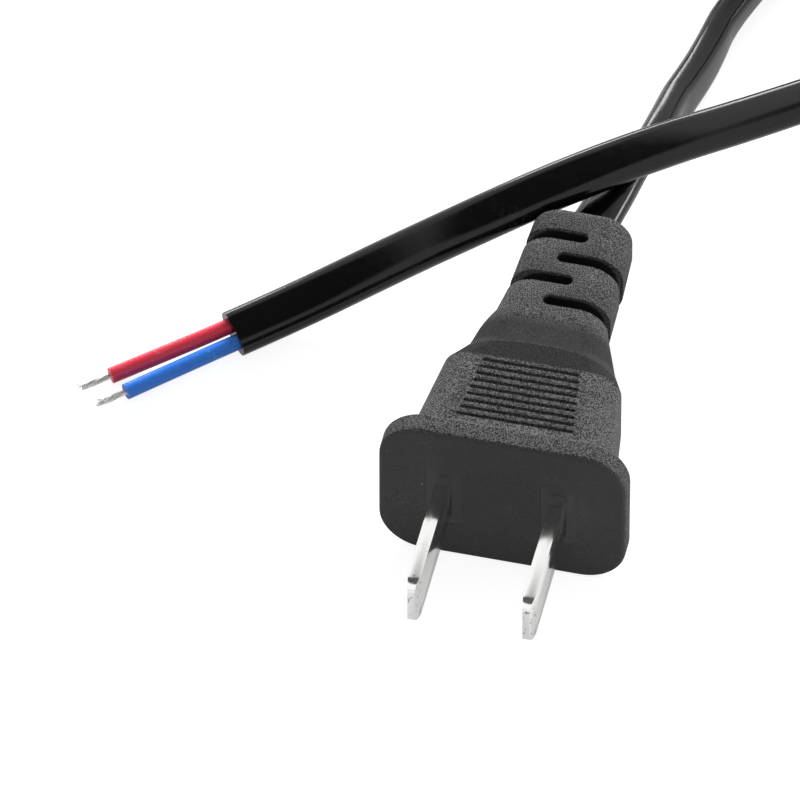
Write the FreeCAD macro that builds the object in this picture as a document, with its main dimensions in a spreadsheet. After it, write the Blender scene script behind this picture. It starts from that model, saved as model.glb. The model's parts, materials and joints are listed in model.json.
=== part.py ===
import FreeCAD, Part
import math
import os
import Sketcher
from FreeCAD import Placement, Rotation, Vector

os.makedirs("parts", exist_ok=True)
doc = FreeCAD.newDocument("TypeAPlug")

# Driving dimensions in millimetres and degrees. The plug is drawn about its own axis: y = 0 at the
# engagement face, blades towards -y, cord towards +y, z = 0 halfway up the flange.
driving = [
    ("blade_pitch", 12.7, "between the blades' middles"),
    ("blade_thickness", 1.5, ""),
    ("blade_width", 6.3, ""),
    ("blade_length", 16.2, "outside the engagement face"),
    ("blade_tip_length", 1.7, "stretch that tapers"),
    ("blade_tip_thickness", 0.8, ""),
    ("blade_tip_corner", 1.3, ""),
    ("blade_root", 8.0, "behind the engagement face, up to the crimp"),
    ("crimp_length", 4.0, ""),
    ("crimp_wall", 0.45, ""),
    ("flange_width", 27.4, ""),
    ("flange_height", 19.2, ""),
    ("flange_thickness", 2.9, ""),
    ("flange_corner", 5.0, ""),
    ("flange_edge", 0.6, "rounding of the rim"),
    ("grip_width_front", 23.1, ""),
    ("grip_width_rear", 19.76, ""),
    ("grip_height", 12.8, ""),
    ("grip_corner", 3.2, ""),
    ("grip_length", 15.3, "from the engagement face"),
    ("scoop_length", 4.2, "slope from the grip down to the neck"),
    ("neck_height", 9.6, ""),
    ("neck_corner", 4.0, ""),
    ("neck_length", 25.3, "from the engagement face"),
    ("neck_width", 12.3, "where the strain relief starts"),
    ("body_length", 40.0, "engagement face to the strain relief's end"),
    ("relief_width", 10.6, "at its end"),
    ("relief_height", 9.0, ""),
    ("relief_corner", 3.4, ""),
    ("relief_edge", 1.0, "rounding of its end"),
    ("relief_wall", 0.9, "of the sleeve round the cord, at the bottom of the slots"),
    ("slot_count", 4, "they open to the sides in turn"),
    ("slot_start", 26.3, "first slot's middle from the engagement face"),
    ("slot_pitch", 3.2, ""),
    ("slot_width", 1.5, ""),
    ("slot_reach", 1.3, "past the middle of the strain relief"),
    ("groove_count", 9, ""),
    ("groove_start", 6.4, "first groove from the engagement face"),
    ("groove_pitch", 1.02, ""),
    ("groove_width", 0.46, ""),
    ("groove_depth", 0.35, ""),
    ("groove_margin", 4.6, "from a groove's end to the side of the grip"),
    ("holder_tower_width", 4.1, ""),
    ("holder_tower_height", 8.9, ""),
    ("holder_tower_corner", 0.9, ""),
    ("holder_depth", 6.0, ""),
    ("holder_bridge_start", 3.4, "behind the engagement face"),
    ("holder_bridge_height", 5.0, ""),
    ("cord_width", 5.4, ""),
    ("cord_thickness", 3.2, ""),
    ("jacket_start", 22.0, "where the jacket ends inside the body"),
    ("core_diameter", 1.8, ""),
    ("core_spacing", 2.0, "between the two cores in the jacket"),
    ("strand_diameter", 0.9, "of the bundle"),
    ("core_splice", 14.2, "where each core's insulation ends, behind the crimp"),
    ("core_run", 1.95, "of a core inside the body, straight at either end of its bend"),
    ("core_bared", 13.8, "insulated core outside the cut jacket"),
    ("core_straight", 4.14, "its first stretch, in line with the cord"),
    ("red_spread", -3.7, "turn of the red core off the cord's line"),
    ("blue_spread", -2.9, "turn of the blue core off the cord's line"),
    ("strand_bared", 3.8, "bare strands outside the insulation"),
    ("coil_x", -6.0, "middle of the coil on the floor"),
    ("coil_y", 140.2, ""),
    ("coil_turn_radius", 35.0, "middle of the outermost turn"),
    ("coil_columns", 4, "turns side by side"),
    ("coil_layers", 2, ""),
    ("coil_gap", 0.2, "between neighbouring turns"),
    ("coil_edge", 1.2, ""),
    ("coil_stub", 18.5, "straight stretch that leaves the coil"),
    ("coil_run", 10.0, "of the free cord, in line with each stub"),
    ("lead_heading", 75.0, "of the cord where it enters the coil"),
    ("return_heading", -15.0, "of the cord where it leaves the coil"),
    ("tie_thickness", 0.6, ""),
    ("tie_width", 4.0, ""),
    ("tie_clearance", 0.1, ""),
    ("tie_tail", 11.0, "length of its twisted ends"),
    ("tie_twist", 1.5, "diameter of its twisted ends"),
    ("tie_heading", 62.0, "place of the tie round the coil"),
]

sheet = doc.addObject("Spreadsheet::Sheet", "sizes")
for row, (alias, amount, note) in enumerate(driving, start=1):
    sheet.set(f"A{row}", alias)
    sheet.set(f"B{row}", str(amount))
    sheet.set(f"C{row}", note)
    sheet.setAlias(f"B{row}", alias)
doc.recompute()


# Lengths, and shares of a volume, that differ by less count as the same
tolerance = 0.01


class Size:
    """A sheet cell, or a formula of cells, with its present value."""

    def __init__(self, text, value):
        self.text = text
        self.value = value

    def join(self, sign, other, value):
        return Size(f"({self.text} {sign} {other.text})", value)

    def __add__(self, other):
        other = as_size(other)
        return self.join("+", other, self.value + other.value)

    def __sub__(self, other):
        other = as_size(other)
        return self.join("-", other, self.value - other.value)

    def __mul__(self, other):
        other = as_size(other)
        return self.join("*", other, self.value * other.value)

    def __truediv__(self, other):
        other = as_size(other)
        return self.join("/", other, self.value / other.value)

    def __neg__(self):
        return Size(f"(-1 * {self.text})", -self.value)


def as_size(number):
    return number if isinstance(number, Size) else Size(str(number), number)


size = {alias: Size(f"sizes.{alias}", amount) for alias, amount, note in driving}


def cosine(angle):
    return Size(f"cos({angle.text} * 1 deg)", math.cos(math.radians(angle.value)))


def sine(angle):
    return Size(f"sin({angle.text} * 1 deg)", math.sin(math.radians(angle.value)))


def bind(thing, property_name, amount):
    thing.setExpression(property_name, as_size(amount).text)


# Heights and places that several pieces share
axis_height = size["flange_height"] / 2
face_place = (size["blade_length"] - size["body_length"]) / 2
half_pitch = size["blade_pitch"] / 2


def seat_on_plug(thing, across=None):
    """Moves a piece from the plug's own axis to its place: lower flange edge at z = 0."""
    if across is not None:
        bind(thing, "Placement.Base.x", across)
    bind(thing, "Placement.Base.y", face_place)
    bind(thing, "Placement.Base.z", axis_height)


# Sketch helpers
def new_body(name):
    body = doc.addObject("PartDesign::Body", name)
    body.Label = name
    return body


def sketch_on(body, name, role, x=None, y=None, z=None):
    """A sketch on an origin plane of its body, moved by x and y in the plane and z along its normal."""
    sketch = body.newObject("Sketcher::SketchObject", name)
    plane = next(item for item in body.Origin.OriginFeatures if item.Role == role)
    sketch.AttachmentSupport = [(plane, "")]
    sketch.MapMode = "FlatFace"
    for axis, amount in (("x", x), ("y", y), ("z", z)):
        if amount is not None:
            bind(sketch, f"AttachmentOffset.Base.{axis}", amount)
    return sketch


def constrain(sketch, kind, *places, amount=None):
    if amount is None:
        return sketch.addConstraint(Sketcher.Constraint(kind, *places))
    amount = as_size(amount)
    number = sketch.addConstraint(Sketcher.Constraint(kind, *places, amount.value))
    sketch.setExpression(f"Constraints[{number}]", amount.text)
    return number


def rounded_rectangle(sketch, width, height, radius):
    """Centred on the sketch's origin."""
    width, height, radius = (as_size(item) for item in (width, height, radius))
    a, b, r = width.value / 2, height.value / 2, radius.value
    low, right, top, left = (
        sketch.addGeometry(Part.LineSegment(Vector(*start, 0), Vector(*end, 0)))
        for start, end in (
            ((-a + r, -b), (a - r, -b)),
            ((a, -b + r), (a, b - r)),
            ((a - r, b), (-a + r, b)),
            ((-a, b - r), (-a, -b + r)),
        )
    )
    corners = [
        sketch.addGeometry(
            Part.ArcOfCircle(
                Part.Circle(Vector(x, y, 0), Vector(0, 0, 1), r),
                math.radians(turn),
                math.radians(turn + 90),
            )
        )
        for x, y, turn in (
            (a - r, -b + r, -90),
            (a - r, b - r, 0),
            (-a + r, b - r, 90),
            (-a + r, -b + r, 180),
        )
    ]
    for before, corner, after in zip(
        (low, right, top, left), corners, (right, top, left, low)
    ):
        constrain(sketch, "Tangent", before, 2, corner, 1)
        constrain(sketch, "Tangent", corner, 2, after, 1)
    for line in (low, top):
        constrain(sketch, "Horizontal", line)
    for line in (right, left):
        constrain(sketch, "Vertical", line)
    for corner in corners[1:]:
        constrain(sketch, "Equal", corners[0], corner)
    constrain(sketch, "Symmetric", corners[0], 3, corners[2], 3, -1, 1)
    constrain(sketch, "DistanceX", left, 1, right, 1, amount=width)
    constrain(sketch, "DistanceY", low, 1, top, 1, amount=height)
    constrain(sketch, "Radius", corners[0], amount=radius)


def slot_outline(sketch, x, y, length, width):
    """Two parallel edges closed by half circles, with its middle at x, y."""
    x, y, length, width = (as_size(item) for item in (x, y, length, width))
    reach = (length - width) / 2
    r, run = width.value / 2, reach.value
    top = sketch.addGeometry(
        Part.LineSegment(
            Vector(x.value + run, y.value + r, 0), Vector(x.value - run, y.value + r, 0)
        )
    )
    low = sketch.addGeometry(
        Part.LineSegment(
            Vector(x.value - run, y.value - r, 0), Vector(x.value + run, y.value - r, 0)
        )
    )
    left, right = (
        sketch.addGeometry(
            Part.ArcOfCircle(
                Part.Circle(Vector(x.value + side * run, y.value, 0), Vector(0, 0, 1), r),
                math.radians(-90 * side),
                math.radians(-90 * side + 180),
            )
        )
        for side in (-1, 1)
    )
    for before, after in ((top, left), (left, low), (low, right), (right, top)):
        constrain(sketch, "Tangent", before, 2, after, 1)
    constrain(sketch, "Horizontal", low)
    constrain(sketch, "Equal", left, right)
    constrain(sketch, "Radius", left, amount=width / 2)
    for arc, place in ((left, x - reach), (right, x + reach)):
        constrain(sketch, "DistanceX", -1, 1, arc, 3, amount=place)
    if y.value:
        constrain(sketch, "DistanceY", -1, 1, left, 3, amount=y)
    else:
        constrain(sketch, "PointOnObject", left, 3, -1)


def polygon(sketch, points):
    """Straight edges from point to point; a coordinate of None lies on the sketch's axis."""
    points = [tuple(None if item is None else as_size(item) for item in point) for point in points]
    flat = [Vector(*(item.value if item else 0 for item in point), 0) for point in points]
    lines = [
        sketch.addGeometry(Part.LineSegment(start, end))
        for start, end in zip(flat, flat[1:] + flat[:1])
    ]
    for before, after in zip(lines, lines[1:] + lines[:1]):
        constrain(sketch, "Coincident", before, 2, after, 1)
    for line, (x, y) in zip(lines, points):
        for kind, amount, axis in (("DistanceX", x, -2), ("DistanceY", y, -1)):
            if amount is None:
                constrain(sketch, "PointOnObject", line, 1, axis)
            else:
                constrain(sketch, kind, -1, 1, line, 1, amount=amount)


def circle(sketch, radius):
    """Centred on the sketch's origin."""
    radius = as_size(radius)
    ring = sketch.addGeometry(Part.Circle(Vector(0, 0, 0), Vector(0, 0, 1), radius.value))
    constrain(sketch, "Coincident", ring, 3, -1, 1)
    constrain(sketch, "Radius", ring, amount=radius)


def pad(body, name, sketch, length, backwards=False, symmetric=False):
    feature = body.newObject("PartDesign::Pad", name)
    feature.Profile = sketch
    feature.Reversed = backwards
    feature.SideType = "Symmetric" if symmetric else "One side"
    bind(feature, "Length", length)
    return feature


def pocket(body, name, sketch, length, backwards=False, symmetric=False):
    feature = body.newObject("PartDesign::Pocket", name)
    feature.Profile = sketch
    feature.Reversed = backwards
    feature.SideType = "Symmetric" if symmetric else "One side"
    bind(feature, "Length", length)
    return feature


def fillet_edges(body, name, base, radius, wanted):
    """Rounds those edges of a feature that the test wants."""
    doc.recompute()
    edges = [
        f"Edge{number}" for number, edge in enumerate(base.Shape.Edges, start=1) if wanted(edge)
    ]
    feature = body.newObject("PartDesign::Fillet", name)
    feature.Base = (base, edges)
    bind(feature, "Radius", radius)
    return feature


# Cord helpers
def rounded_route(name, points):
    """Straight runs joined by tangent arcs, each as large as its two runs allow."""
    share = 0.45
    edges, radii, start = [], [], points[0]
    for before, corner, after in zip(points, points[1:], points[2:]):
        run_in, run_out = corner - before, after - corner
        turn = run_in.getAngle(run_out)
        setback = share * min(run_in.Length, run_out.Length)
        along_in = Vector(run_in).normalize()
        along_out = Vector(run_out).normalize()
        first, last = corner - along_in * setback, corner + along_out * setback
        radius = setback / math.tan(turn / 2)
        inward = (along_out - along_in).normalize()
        middle = corner + inward * (radius / math.cos(turn / 2) - radius)
        edges.append(Part.LineSegment(start, first).toShape())
        edges.append(Part.Arc(first, middle, last).toShape())
        radii.append(round(radius, 1))
        start = last
    edges.append(Part.LineSegment(start, points[-1]).toShape())
    route = Part.Wire(edges)
    print(f"{name}: length {route.Length:.1f} mm, radii {radii}")
    return route


def disc(diameter, place, along):
    return Part.Wire([Part.Circle(place, along, diameter / 2).toShape()])


def flat_section(place, along):
    """The cord's section, flat side up, across the route where it starts."""
    width, thickness = size["cord_width"].value, size["cord_thickness"].value
    side = along.cross(Vector(0, 0, 1)).normalize()
    rise = side.cross(along).normalize()
    reach, radius = side * (width - thickness) / 2, rise * thickness / 2
    outer = side * width / 2
    return Part.Wire(
        [
            Part.LineSegment(place - reach + radius, place + reach + radius).toShape(),
            Part.Arc(place + reach + radius, place + outer, place + reach - radius).toShape(),
            Part.LineSegment(place + reach - radius, place - reach - radius).toShape(),
            Part.Arc(place - reach - radius, place - outer, place - reach + radius).toShape(),
        ]
    )


def swept(name, route, section):
    """A section moved along a route; its volume is held against section times length."""
    solid = route.makePipeShell([section], True, False)
    expected = Part.Face(section).Area * route.Length
    if abs(solid.Volume / expected - 1) > tolerance:
        raise ValueError(f"{name}: volume {solid.Volume:.1f}, expected {expected:.1f}")
    return solid


def keep_shape(name, shape, placed=None):
    feature = doc.addObject("Part::Feature", name)
    feature.Label = name
    feature.Shape = shape
    if placed is not None:
        feature.Placement = placed
    return feature


# Blades: flat strip with a tapered, rounded tip, and a crimp barrel behind
def make_blade(name, side):
    body = new_body(name)
    half, tip = size["blade_thickness"] / 2, size["blade_tip_thickness"] / 2
    end = -size["blade_length"]
    taper = end + size["blade_tip_length"]
    plan = sketch_on(body, f"{name}_plan", "XY_Plane")
    polygon(
        plan,
        [
            (-half, size["blade_root"]),
            (-half, taper),
            (-tip, end),
            (tip, end),
            (half, taper),
            (half, size["blade_root"]),
        ],
    )
    strip = pad(body, f"{name}_strip", plan, size["blade_width"], symmetric=True)
    tip_place = end.value

    def at_tip_corner(edge):
        box = edge.BoundBox
        return box.YMax < tip_place + tolerance and box.ZLength < tolerance

    fillet_edges(body, f"{name}_tip", strip, size["blade_tip_corner"], at_tip_corner)
    barrel = sketch_on(body, f"{name}_crimp", "XZ_Plane", z=-size["blade_root"])
    circle(barrel, size["strand_diameter"] / 2 + size["crimp_wall"])
    pad(body, f"{name}_barrel", barrel, size["crimp_length"], backwards=True)
    bore = sketch_on(body, f"{name}_bore", "XZ_Plane", z=-size["blade_root"])
    circle(bore, size["strand_diameter"] / 2)
    pocket(body, f"{name}_hole", bore, size["crimp_length"])
    seat_on_plug(body, half_pitch * side)
    return body


blades = [make_blade("blade_left", -1), make_blade("blade_right", 1)]


# Blade holder: two towers flush with the engagement face, joined by a bridge inside the body
def make_blade_holder():
    body = new_body("blade_holder")
    for name, side in (("left", -1), ("right", 1)):
        tower = sketch_on(body, f"tower_{name}_outline", "XZ_Plane", x=half_pitch * side)
        rounded_rectangle(
            tower,
            size["holder_tower_width"],
            size["holder_tower_height"],
            size["holder_tower_corner"],
        )
        pad(body, f"tower_{name}", tower, size["holder_depth"], backwards=True)
        if side < 0:
            bridge = sketch_on(
                body, "bridge_outline", "XZ_Plane", z=-size["holder_bridge_start"]
            )
            rounded_rectangle(
                bridge,
                size["blade_pitch"] + size["holder_tower_width"],
                size["holder_bridge_height"],
                size["holder_tower_corner"],
            )
            thickness = size["holder_depth"] - size["holder_bridge_start"]
            pad(body, "bridge", bridge, thickness, backwards=True)
    half_thickness, half_width = size["blade_thickness"] / 2, size["blade_width"] / 2
    for name, side in (("left", -1), ("right", 1)):
        slot = sketch_on(body, f"slot_{name}_outline", "XZ_Plane", x=half_pitch * side)
        polygon(
            slot,
            [
                (-half_thickness, -half_width),
                (half_thickness, -half_width),
                (half_thickness, half_width),
                (-half_thickness, half_width),
            ],
        )
        pocket(body, f"slot_{name}", slot, size["holder_depth"])
    seat_on_plug(body)
    return body


blade_holder = make_blade_holder()


# Wires inside the body: each crimped conductor and its insulation, bent in to the jacket
def make_inner_wire(colour, side):
    splice = size["core_splice"].value
    jacket = size["jacket_start"].value
    across, apart = half_pitch.value * side, size["core_spacing"].value / 2 * side
    run = size["core_run"].value
    route = rounded_route(
        f"conductor_{colour}",
        [
            Vector(across, size["blade_root"].value, 0),
            Vector(across, splice + run, 0),
            Vector(apart, jacket - run, 0),
            Vector(apart, jacket, 0),
        ],
    )
    along = Vector(0, 1, 0)
    start = Vector(across, size["blade_root"].value, 0)
    conductor = swept(
        f"conductor_{colour}", route, disc(size["strand_diameter"].value, start, along)
    )
    diameter = size["core_diameter"].value
    jacketed = swept(f"core_{colour}", route, disc(diameter, start, along))
    stripped = Part.makeBox(
        diameter * 2, splice, diameter * 2, Vector(across - diameter, 0, -diameter)
    )
    insulation = jacketed.cut(conductor).cut(stripped)
    place = Placement(Vector(0, face_place.value, axis_height.value), Rotation())
    return [
        keep_shape(f"conductor_{colour}", conductor, place),
        keep_shape(f"core_{colour}", insulation, place),
    ]


inner_wires = make_inner_wire("red", 1) + make_inner_wire("blue", -1)


# Jacket end: the part of the cord's jacket that the moulding grips
def make_jacket_end():
    body = new_body("jacket_end")
    outline = sketch_on(body, "jacket_outline", "XZ_Plane", z=-size["jacket_start"])
    slot_outline(outline, 0, 0, size["cord_width"], size["cord_thickness"])
    length = size["body_length"] - size["jacket_start"]
    pad(body, "jacket_length", outline, length, backwards=True)
    seat_on_plug(body)
    return body


jacket_end = make_jacket_end()


# Moulded body: flange, grip, neck and slotted strain relief in one piece
def half_width_at(place):
    """Width of the grip's straight taper at a distance behind the engagement face."""
    run = size["grip_length"] - size["flange_thickness"]
    fall = (size["grip_width_front"] - size["grip_width_rear"]) / run
    width = size["grip_width_front"] - fall * (place - size["flange_thickness"])
    return width / 2


def make_moulding():
    body = new_body("moulding")
    flange = sketch_on(body, "flange_outline", "XZ_Plane")
    rounded_rectangle(
        flange, size["flange_width"], size["flange_height"], size["flange_corner"]
    )
    flange_pad = pad(body, "flange", flange, size["flange_thickness"], backwards=True)
    rim = size["flange_height"].value / 2 - size["flange_corner"].value

    def on_rim(edge):
        box = edge.BoundBox
        return box.YLength < tolerance and max(abs(box.ZMin), abs(box.ZMax)) >= rim

    fillet_edges(body, "flange_rim", flange_pad, size["flange_edge"], on_rim)

    scoop_end = size["grip_length"] + size["scoop_length"]
    fall = (size["grip_width_rear"] - size["neck_width"]) / (
        size["neck_length"] - size["grip_length"]
    )
    waist = size["grip_width_rear"] - fall * size["scoop_length"]
    sections = []
    for name, place, width, height, corner in (
        ("front", size["flange_thickness"], size["grip_width_front"], size["grip_height"],
         size["grip_corner"]),
        ("rear", size["grip_length"], size["grip_width_rear"], size["grip_height"],
         size["grip_corner"]),
        ("scoop", scoop_end, waist, size["neck_height"], size["neck_corner"]),
        ("neck", size["neck_length"], size["neck_width"], size["relief_height"],
         size["relief_corner"]),
        ("relief", size["body_length"], size["relief_width"], size["relief_height"],
         size["relief_corner"]),
    ):
        section = sketch_on(body, f"{name}_section", "XZ_Plane", z=-place)
        rounded_rectangle(section, width, height, corner)
        sections.append(section)
    loft = body.newObject("PartDesign::AdditiveLoft", "grip")
    loft.Profile = sections[0]
    loft.Sections = sections[1:]
    loft.Ruled = True
    end_place = size["body_length"].value

    def on_end(edge):
        box = edge.BoundBox
        return box.YMin > end_place - tolerance

    fillet_edges(body, "relief_end", loft, size["relief_edge"], on_end)

    for number in range(int(size["slot_count"].value)):
        side = 1 if number % 2 == 0 else -1
        outside = size["neck_width"] / 2 + size["slot_width"]
        reach = size["slot_reach"]
        slot = sketch_on(body, f"relief_slot_{number + 1}_outline", "XY_Plane")
        slot_outline(
            slot,
            (outside - reach) / 2 * side,
            size["slot_start"] + size["slot_pitch"] * number,
            outside + reach,
            size["slot_width"],
        )
        pocket(
            body, f"relief_slot_{number + 1}", slot, size["relief_height"] * 2, symmetric=True
        )
    sleeve = sketch_on(body, "sleeve_outline", "XZ_Plane", z=-size["neck_length"])
    wall = size["relief_wall"] * 2
    slot_outline(sleeve, 0, 0, size["cord_width"] + wall, size["cord_thickness"] + wall)
    length = size["body_length"] - size["neck_length"]
    pad(body, "sleeve", sleeve, length, backwards=True)

    for name, side in (("top", 1), ("bottom", -1)):
        grooves = sketch_on(
            body, f"{name}_grooves_outline", "XY_Plane", z=size["grip_height"] / 2 * side
        )
        for number in range(int(size["groove_count"].value)):
            place = size["groove_start"] + size["groove_pitch"] * number
            span = (half_width_at(place) - size["groove_margin"]) * 2
            slot_outline(grooves, 0, place, span, size["groove_width"])
        pocket(body, f"{name}_grooves", grooves, size["groove_depth"], backwards=side < 0)
    seat_on_plug(body)
    return body


def make_moulded_body():
    """The moulding with room for all that it is moulded round."""
    inserts = doc.addObject("Part::MultiFuse", "inserts")
    inserts.Shapes = blades + [blade_holder, jacket_end] + inner_wires
    moulded = doc.addObject("Part::Cut", "moulded_body")
    moulded.Label = "moulded_body"
    moulded.Base = make_moulding()
    moulded.Tool = inserts
    return moulded


moulded_body = make_moulded_body()

# Coil: outer shape of the wound cord, with a straight stub where each end leaves it
column_pitch = size["cord_thickness"] + size["coil_gap"]
layer_pitch = size["cord_width"] + size["coil_gap"]
coil_outside = size["coil_turn_radius"] + column_pitch / 2
coil_inside = coil_outside - column_pitch * size["coil_columns"]
coil_height = layer_pitch * size["coil_layers"] - size["coil_gap"]
low_turn = size["tie_thickness"] + size["cord_width"] / 2
high_turn = size["tie_thickness"] + coil_height - size["cord_width"] / 2


def make_coil():
    body = new_body("cord_coil")
    ring = sketch_on(
        body,
        "ring_section",
        "XZ_Plane",
        x=(coil_inside + coil_outside) / 2,
        y=size["tie_thickness"] + coil_height / 2,
    )
    rounded_rectangle(ring, coil_outside - coil_inside, coil_height, size["coil_edge"])
    turned = body.newObject("PartDesign::Revolution", "ring")
    turned.Profile = ring
    axis = next(item for item in body.Origin.OriginFeatures if item.Role == "Z_Axis")
    turned.ReferenceAxis = (axis, [""])
    turned.Angle = 360
    for name, place, heading, height in (
        ("lead", size["lead_heading"] - 90, size["lead_heading"] + 180, low_turn),
        ("return", size["return_heading"] - 90, size["return_heading"], high_turn),
    ):
        stub = sketch_on(
            body,
            f"{name}_stub_section",
            "XZ_Plane",
            x=cosine(place) * size["coil_turn_radius"],
            y=height,
            z=-(sine(place) * size["coil_turn_radius"]),
        )
        stub.AttachmentOffset = Placement(
            stub.AttachmentOffset.Base, Rotation(Vector(0, 1, 0), heading.value + 90)
        )
        bind(stub, "AttachmentOffset.Rotation.Angle", heading + 90)
        slot_outline(stub, 0, 0, size["cord_width"], size["cord_thickness"])
        pad(body, f"{name}_stub", stub, size["coil_stub"])
    bind(body, "Placement.Base.x", size["coil_x"])
    bind(body, "Placement.Base.y", size["coil_y"])
    return body


cord_coil = make_coil()


def make_tie():
    """A flat band round the coil's section, with its twisted tail on top."""
    body = new_body("coil_tie")
    middle = (coil_inside + coil_outside) / 2
    width = coil_outside - coil_inside + size["tie_clearance"] * 2
    height = coil_height + size["tie_clearance"]
    thickness = size["tie_thickness"]
    outer = sketch_on(
        body, "band_outline", "XZ_Plane", x=middle, y=(height + thickness * 2) / 2
    )
    rounded_rectangle(outer, width + thickness * 2, height + thickness * 2, thickness)
    pad(body, "band", outer, size["tie_width"], symmetric=True)
    inner = sketch_on(
        body, "opening_outline", "XZ_Plane", x=middle, y=thickness + height / 2
    )
    half_width, half_height = width / 2, height / 2
    polygon(
        inner,
        [
            (-half_width, -half_height),
            (half_width, -half_height),
            (half_width, half_height),
            (-half_width, half_height),
        ],
    )
    pocket(body, "opening", inner, size["tie_width"] * 2, symmetric=True)
    twist_radius = size["tie_twist"] / 2
    seat = height + thickness + thickness / 2
    tail = sketch_on(body, "tail_section", "XZ_Plane", x=middle, y=seat + twist_radius)
    circle(tail, twist_radius)
    pad(body, "tail", tail, size["tie_tail"], symmetric=True)
    bind(body, "Placement.Base.x", size["coil_x"])
    bind(body, "Placement.Base.y", size["coil_y"])
    body.Placement.Rotation = Rotation(Vector(0, 0, 1), size["tie_heading"].value)
    bind(body, "Placement.Rotation.Angle", size["tie_heading"])
    return body


coil_tie = make_tie()


# Free cord: from the strain relief to the coil, and from the coil over itself to the cut end
def stub_end(place, heading, height):
    """Where a stub of the coil ends, and the direction that it points in."""
    radius = size["coil_turn_radius"].value
    outward = Vector(math.cos(math.radians(heading)), math.sin(math.radians(heading)), 0)
    middle = Vector(size["coil_x"].value, size["coil_y"].value, height)
    tangent = Vector(math.cos(math.radians(place)), math.sin(math.radians(place)), 0)
    return middle + tangent * radius + outward * size["coil_stub"].value, outward


lead_turn, return_turn = size["lead_heading"].value, size["return_heading"].value
lead_in, lead_outward = stub_end(lead_turn - 90, lead_turn + 180, low_turn.value)
return_out, return_outward = stub_end(return_turn - 90, return_turn, high_turn.value)
exit_place = Vector(0, face_place.value + size["body_length"].value, axis_height.value)
coil_run = size["coil_run"].value

lead_points = [
    exit_place,
    Vector(0, 35.0, exit_place.z),
    Vector(2.7, 45.5, 8.2),
    Vector(4.7, 54.0, 5.2),
    Vector(6.0, 62.5, 3.4),
    Vector(7.3, 71.5, 2.9),
    lead_in + lead_outward * coil_run,
    lead_in,
]
return_points = [
    return_out,
    return_out + return_outward * coil_run,
    Vector(25.3, 89.8, 8.4),
    Vector(30.8, 74.8, 7.9),
    Vector(26.6, 59.3, 9.0),
    Vector(14.4, 47.6, 11.0),
    Vector(6.2, 40.2, 13.1),
    Vector(-3.0, 32.3, 13.3),
    Vector(-12.0, 26.5, 10.6),
    Vector(-20.6, 22.9, 6.0),
    Vector(-29.0, 17.8, 2.5),
    Vector(-35.6, 12.3, 1.8),
]


def make_cord(name, points):
    route = rounded_route(name, points)
    section = flat_section(points[0], points[1] - points[0])
    return keep_shape(name, swept(name, route, section))


cords = [make_cord("cord_lead", lead_points), make_cord("cord_return", return_points)]


# Stripped end: two insulated cores out of the cut jacket, each with its bare strands
def make_stripped_core(colour, side):
    along = (return_points[-1] - return_points[-2]).normalize()
    across = along.cross(Vector(0, 0, 1)).normalize()
    start = return_points[-1] + across * (size["core_spacing"].value / 2 * side)
    straight = size["core_straight"].value
    bend = start + along * straight
    outward = Rotation(Vector(0, 0, 1), size[f"{colour}_spread"].value).multVec(along)
    core_end = bend + outward * (size["core_bared"].value - straight)
    core_end.z = size["core_diameter"].value / 2
    onward = (core_end - bend).normalize()
    tip = core_end + onward * size["strand_bared"].value
    tip.z = max(tip.z, size["strand_diameter"].value / 2)
    strands = swept(
        f"strands_{colour}",
        rounded_route(f"strands_{colour}", [start, bend, tip]),
        disc(size["strand_diameter"].value, start, along),
    )
    insulation = swept(
        f"stripped_core_{colour}",
        rounded_route(f"stripped_core_{colour}", [start, bend, core_end]),
        disc(size["core_diameter"].value, start, along),
    ).cut(strands)
    return [
        keep_shape(f"stripped_core_{colour}", insulation),
        keep_shape(f"strands_{colour}", strands),
    ]


stripped_end = make_stripped_core("red", 1) + make_stripped_core("blue", -1)

pieces = (
    [moulded_body, blade_holder]
    + blades
    + inner_wires
    + [jacket_end, cord_coil, coil_tie]
    + cords
    + stripped_end
)

doc.recompute()
for item in doc.Objects:
    if "Invalid" in item.State or "Error" in item.State:
        raise RuntimeError(f"{item.Label} did not build: {item.State}")
for piece in pieces:
    if piece.Shape.isNull() or not piece.Shape.isValid():
        raise RuntimeError(f"{piece.Label} has no valid shape")
for piece in pieces:
    piece.Shape.exportStep(f"parts/{piece.Label}.step")
    print(f"{piece.Label}: {len(piece.Shape.Solids)} solid, {piece.Shape.Volume:.1f} mm3")
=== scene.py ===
import json
import math
import random

import bmesh
import bpy
from mathutils import Euler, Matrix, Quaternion, Vector

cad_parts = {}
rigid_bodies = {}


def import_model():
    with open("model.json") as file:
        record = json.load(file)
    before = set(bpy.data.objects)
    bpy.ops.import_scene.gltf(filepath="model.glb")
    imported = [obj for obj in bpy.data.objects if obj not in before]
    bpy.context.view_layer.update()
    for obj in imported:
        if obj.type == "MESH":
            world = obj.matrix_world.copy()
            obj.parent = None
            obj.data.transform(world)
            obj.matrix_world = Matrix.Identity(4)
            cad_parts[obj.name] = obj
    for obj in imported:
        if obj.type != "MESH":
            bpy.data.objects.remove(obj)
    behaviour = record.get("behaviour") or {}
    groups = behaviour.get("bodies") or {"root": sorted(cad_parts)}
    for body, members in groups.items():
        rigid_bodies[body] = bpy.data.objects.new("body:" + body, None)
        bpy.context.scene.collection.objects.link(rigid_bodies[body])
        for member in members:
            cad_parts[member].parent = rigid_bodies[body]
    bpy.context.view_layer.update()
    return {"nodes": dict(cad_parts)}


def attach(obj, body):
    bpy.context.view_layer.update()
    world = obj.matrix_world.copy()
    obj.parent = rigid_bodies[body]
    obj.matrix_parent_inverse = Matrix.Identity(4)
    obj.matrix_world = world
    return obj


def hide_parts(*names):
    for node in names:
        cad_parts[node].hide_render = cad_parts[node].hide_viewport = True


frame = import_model()
nodes = frame["nodes"]
view = bpy.context.view_layer
mm = 0.001
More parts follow.
